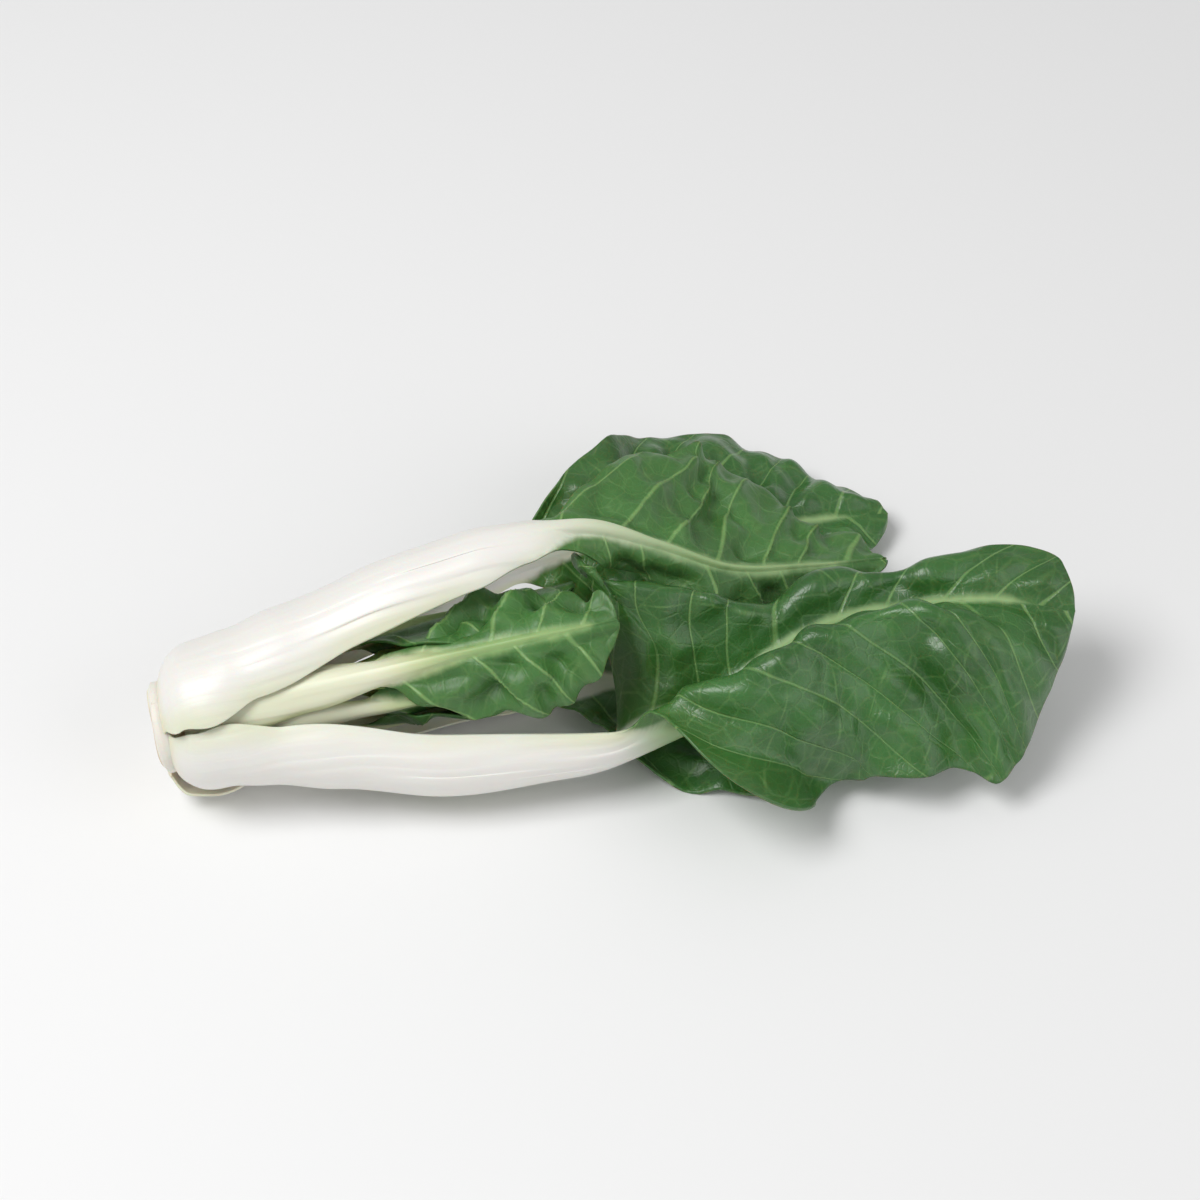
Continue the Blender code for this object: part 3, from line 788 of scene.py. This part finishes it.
def leaf_piece(leaf, look, finish):
    """The leaf as a fine grid laid along its route, made solid on its under side."""
    cells = bmesh.new()
    bmesh.ops.create_grid(cells, x_segments=leaf.along, y_segments=leaf.across, size=0.5, calc_uvs=False)
    mesh = bpy.data.meshes.new(leaf.name)
    cells.to_mesh(mesh)
    cells.free()
    flat = np.empty(len(mesh.vertices) * 3, np.float32)
    mesh.vertices.foreach_get("co", flat)
    flat = flat.reshape(-1, 3).astype(float)
    share = np.clip(flat[:, 0] + 0.5, 0, 1)
    u = share - END_DENSITY * np.sin(2 * math.pi * share) / (2 * math.pi)
    v = np.clip(2 * flat[:, 1], -1, 1)
    shape = leaf_sheet(leaf, u, v, look.relief, look.frill)
    place = rest_on_surface(shape["place"], shape["normal"], shape["thickness"]) + np.array(head_origin())
    mesh.vertices.foreach_set("co", place.astype(np.float32).ravel())

    for name in ("phase", "rib", "far", "edge", "q", "greened", "branch", "along"):
        store(mesh, name, shape[name])
    corners = np.empty(len(mesh.loops), np.int32)
    mesh.loops.foreach_get("vertex_index", corners)
    chart = np.column_stack([shape["run"], shape["far"]])[corners] * MM
    mesh.uv_layers.new(name="leaf").data.foreach_set("uv", chart.astype(np.float32).ravel())

    piece = present(mesh, leaf.name, finish)
    group = piece.vertex_groups.new(name="thickness")
    piece.vertex_groups.new(name="under")
    most = float(shape["thickness"].max())
    for index, depth in enumerate((shape["thickness"] / most).tolist()):
        group.add([index], depth, "REPLACE")
    solid = piece.modifiers.new("Solidify", "SOLIDIFY")
    solid.thickness = most
    solid.offset = -1.0
    solid.vertex_group = "thickness"
    solid.shell_vertex_group = "under"
    solid.use_even_offset = False


def stem_piece(finish):
    """The trimmed stem, spun from its profile round the head's axis. It fills the gap to the leaves."""
    shape = bmesh.new()
    outline = [(0.0, 0.0), (0.0, STEM_RADIUS * 0.5)]
    for along, radius in stem_profile():
        outline.append((along, radius + (2 * JOINT_GAP if along > 0.5 * MM else 0)))
    outline.append((STEM_END + 0.4 * MM, 0.0))
    line = [shape.verts.new((along, radius, 0.0)) for along, radius in outline]
    for first, second in zip(line, line[1:]):
        shape.edges.new((first, second))
    bmesh.ops.subdivide_edges(shape, edges=shape.edges, cuts=5)
    bmesh.ops.spin(
        shape, geom=shape.verts[:] + shape.edges[:], cent=(0, 0, 0), axis=(1, 0, 0), dvec=(0, 0, 0),
        angle=2 * math.pi, steps=96, use_merge=True,
    )
    bmesh.ops.remove_doubles(shape, verts=shape.verts, dist=0.00001)
    bmesh.ops.recalc_face_normals(shape, faces=shape.faces)
    mesh = bpy.data.meshes.new("trimmed_stem")
    radial = []
    for vertex in shape.verts:
        radius = math.hypot(vertex.co.y, vertex.co.z)
        turn = math.atan2(vertex.co.z, vertex.co.y)
        face = max(0.0, 1.0 - vertex.co.x / (1.0 * MM))
        uneven = math.sin(3 * turn + 900 * radius) * min(1.0, radius / STEM_RADIUS)
        vertex.co.x += face * 0.25 * MM * uneven
        radial.append(radius / STEM_RADIUS)
    shape.to_mesh(mesh)
    shape.free()
    store(mesh, "radius", radial)
    places = np.empty(len(mesh.vertices) * 3, np.float32)
    mesh.vertices.foreach_get("co", places)
    along, aside, above = places.reshape(-1, 3).T
    turned = np.column_stack([
        along * math.cos(TILT) - above * math.sin(TILT),
        aside,
        along * math.sin(TILT) + above * math.cos(TILT),
    ])
    turned += np.array(head_origin()) + np.array([0, 0, AXIS_HEIGHT])
    mesh.vertices.foreach_set("co", turned.astype(np.float32).ravel())
    present(mesh, "trimmed_stem", finish)


# ---------------------------------------------------------------- settings


def colour_property(name, description, default):
    return FloatVectorProperty(
        name=name, description=description, default=default, subtype="COLOR", min=0, max=1
    )


class LeafSettings(bpy.types.PropertyGroup):
    """The leaves' relief and colours."""

    relief: FloatProperty(
        name="Relief", description="How far the blade puffs up between its veins",
        default=1.5 * MM, min=0.0, unit="LENGTH",
    )
    frill: FloatProperty(
        name="Frill", description="How far the blade's margin waves up and down",
        default=2.4 * MM, min=0.0, unit="LENGTH",
    )
    stalk_colour: colour_property("Stalk", "The white of the stalks", (0.83, 0.815, 0.775))
    stalk_shade: colour_property("Fibres", "The long faint fibres of the stalks", (0.82, 0.80, 0.72))
    tinge_colour: colour_property("Tinge", "The edges of the stalks", (0.66, 0.70, 0.36))
    blade_colour: colour_property("Blade", "The upper side of the big blades", (0.028, 0.125, 0.018))
    fresh_colour: colour_property("Fresh green", "The start of the blades", (0.075, 0.21, 0.03))
    back_colour: colour_property("Under side", "The under side of the blades", (0.085, 0.21, 0.05))
    young_colour: colour_property("Young leaf", "The leaves of the heart", (0.42, 0.52, 0.14))
    vein_colour: colour_property("Veins", "The veins of the blades", (0.23, 0.41, 0.13))
    cut_colour: colour_property("Cut flesh", "The cut end of the stem and the leaf bases", (0.80, 0.72, 0.50))
    dry_colour: colour_property("Dried rim", "Where the cut has dried", (0.42, 0.27, 0.11))


class StageSettings(bpy.types.PropertyGroup):
    """The floor, the light and the camera."""

    floor_colour: colour_property("Floor", "The floor's colour", (0.86, 0.86, 0.86))
    key_power: FloatProperty(
        name="Key light", description="Power of the main light", default=5.8, unit="POWER"
    )
    fill_power: FloatProperty(
        name="Fill light", description="Power of the second light", default=2.6, unit="POWER"
    )
    azimuth: FloatProperty(
        name="Azimuth", description="Which side the camera looks from",
        default=math.radians(-10), subtype="ANGLE",
    )
    elevation: FloatProperty(
        name="Elevation", description="How far the camera looks down",
        default=math.radians(50), subtype="ANGLE",
    )


# ---------------------------------------------------------------- operators


class BOKCHOY_OT_stem(bpy.types.Operator):
    """Makes the trimmed stem with its cut face"""

    bl_idname = "bok_choy.stem"
    bl_label = "Trimmed Stem"

    def execute(self, context):
        look = context.scene.bok_choy_leaves
        stem_piece(stem_finish(look))
        return {"FINISHED"}


class BOKCHOY_OT_outer_leaves(bpy.types.Operator):
    """Grows the four big leaves"""

    bl_idname = "bok_choy.outer_leaves"
    bl_label = "Outer Leaves"

    def execute(self, context):
        look = context.scene.bok_choy_leaves
        finish = leaf_finish("big_leaf", look, tuple(look.blade_colour), 0.0, 0.0)
        for leaf in outer_leaves():
            leaf_piece(leaf, look, finish)
        return {"FINISHED"}


class BOKCHOY_OT_middle_leaves(bpy.types.Operator):
    """Grows the leaves in the opening between the big stalks"""

    bl_idname = "bok_choy.middle_leaves"
    bl_label = "Middle Leaves"

    def execute(self, context):
        look = context.scene.bok_choy_leaves
        finish = leaf_finish("inner_leaf", look, tuple(1.1 * c for c in look.blade_colour), 0.0, 0.5)
        for leaf in middle_leaves():
            leaf_piece(leaf, look, finish)
        return {"FINISHED"}


class BOKCHOY_OT_heart_leaves(bpy.types.Operator):
    """Grows the small pale leaves of the heart"""

    bl_idname = "bok_choy.heart_leaves"
    bl_label = "Heart Leaves"

    def execute(self, context):
        look = context.scene.bok_choy_leaves
        finish = leaf_finish("heart_leaf", look, tuple(look.fresh_colour), 0.5, 0.4)
        for leaf in heart_leaves():
            leaf_piece(leaf, look, finish)
        return {"FINISHED"}


def area_light(name, power, size, place, target):
    light = bpy.data.lights.new(name, "AREA")
    light.energy, light.size = power, size
    lamp = bpy.data.objects.new(name, light)
    bpy.context.scene.collection.objects.link(lamp)
    lamp.location = place
    lamp.rotation_euler = (Vector(target) - Vector(place)).to_track_quat("-Z", "Y").to_euler()


class BOKCHOY_OT_stage(bpy.types.Operator):
    """Lays the pale floor and sets the soft lights and the camera"""

    bl_idname = "bok_choy.stage"
    bl_label = "Stage"

    def execute(self, context):
        stage = context.scene.bok_choy_stage
        low, high = CAD_BOX
        centre = (low + high) / 2
        floor = bmesh.new()
        bmesh.ops.create_grid(floor, x_segments=2, y_segments=2, size=FLOOR_REACH)
        mesh = bpy.data.meshes.new("floor")
        floor.to_mesh(mesh)
        floor.free()
        mesh.transform(Matrix.Translation((0, 0, -FLOOR_DROP)))
        ground = bpy.data.objects.new("floor", mesh)
        context.scene.collection.objects.link(ground)
        mesh.materials.append(floor_finish(tuple(stage.floor_colour)))

        area_light("key_light", stage.key_power, KEY_SIZE, KEY_PLACE, centre)
        area_light("fill_light", stage.fill_power, FILL_SIZE, FILL_PLACE, centre)
        world = bpy.data.worlds.new("soft_room")
        world.use_nodes = True
        backdrop = world.node_tree.nodes["Background"]
        backdrop.inputs["Color"].default_value = (1.0, 1.0, 1.0, 1.0)
        backdrop.inputs["Strength"].default_value = ROOM_LIGHT
        context.scene.world = world
        context.scene.view_settings.view_transform = "Standard"

        lens = bpy.data.cameras.new("camera")
        lens.lens = LENS
        camera = bpy.data.objects.new("camera", lens)
        context.scene.collection.objects.link(camera)
        turn, tilt = stage.azimuth, stage.elevation
        back = Vector((math.sin(turn) * math.cos(tilt), -math.cos(turn) * math.cos(tilt), math.sin(tilt)))
        camera.location = Vector(CAMERA_AIM) + back * CAMERA_DISTANCE
        camera.rotation_euler = (-back).to_track_quat("-Z", "Y").to_euler()
        context.scene.camera = camera
        return {"FINISHED"}


class BOKCHOY_PT_panel(bpy.types.Panel):
    """Lists what can be grown and its settings"""

    bl_idname = "BOKCHOY_PT_panel"
    bl_label = "Bok Choy"
    bl_space_type = "VIEW_3D"
    bl_region_type = "UI"
    bl_category = "Bok Choy"

    def draw(self, context):
        layout = self.layout
        for operator in OPERATORS:
            layout.operator(operator.bl_idname)
        for settings in (context.scene.bok_choy_leaves, context.scene.bok_choy_stage):
            box = layout.box()
            for name in settings.__annotations__:
                box.prop(settings, name)


OPERATORS = (
    BOKCHOY_OT_stem,
    BOKCHOY_OT_outer_leaves,
    BOKCHOY_OT_middle_leaves,
    BOKCHOY_OT_heart_leaves,
    BOKCHOY_OT_stage,
)
CLASSES = (LeafSettings, StageSettings, *OPERATORS, BOKCHOY_PT_panel)


def register():
    for one in CLASSES:
        bpy.utils.register_class(one)
    bpy.types.Scene.bok_choy_leaves = PointerProperty(type=LeafSettings)
    bpy.types.Scene.bok_choy_stage = PointerProperty(type=StageSettings)


def unregister():
    del bpy.types.Scene.bok_choy_stage
    del bpy.types.Scene.bok_choy_leaves
    for one in reversed(CLASSES):
        bpy.utils.unregister_class(one)


def main():
    register()
    bpy.ops.bok_choy.stem()
    bpy.ops.bok_choy.outer_leaves()
    bpy.ops.bok_choy.middle_leaves()
    bpy.ops.bok_choy.heart_leaves()
    bpy.ops.bok_choy.stage()


if __name__ == "__main__":
    main()
